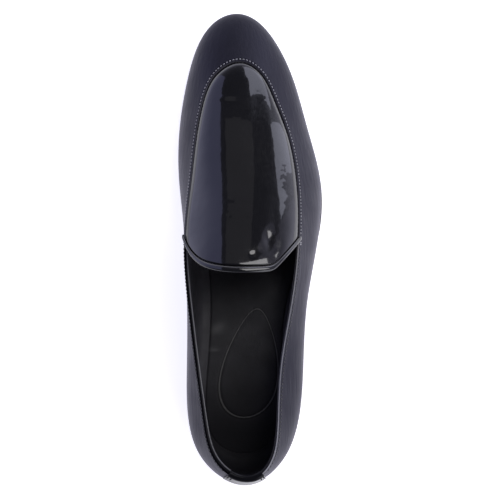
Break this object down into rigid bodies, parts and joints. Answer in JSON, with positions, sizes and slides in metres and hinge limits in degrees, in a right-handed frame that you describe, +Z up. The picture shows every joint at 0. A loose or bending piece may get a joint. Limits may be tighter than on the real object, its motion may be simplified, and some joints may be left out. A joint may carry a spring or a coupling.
{
  "type": "slip-on shoe",
  "caption": "Slip-on dress shoe with a matte leather upper, a glossy patent apron over the vamp, a bound throat, a heel tab and a thin rounded rubber sole with a low heel.",
  "frame": {"origin": "middle of the bounding box on the floor the shoe stands on", "axes": "+X to the outer side of a right foot, +Y from heel to toe, +Z up"},
  "size_m": [0.0976, 0.3, 0.0826],
  "materials": {
    "matte_leather": "matte",
    "patent_leather": "patent gloss",
    "sock_leather": "matte",
    "sole_rubber": "satin",
    "tip_rubber": "satin"
  },
  "bodies": {
    "root": {"outsole": "sole_rubber", "heel_tip": "tip_rubber", "insole": "sock_leather", "upper": "matte_leather", "vamp_plug": "patent_leather", "throat_binding": "patent_leather", "heel_tab": "patent_leather"}
  },
  "joints": []
}
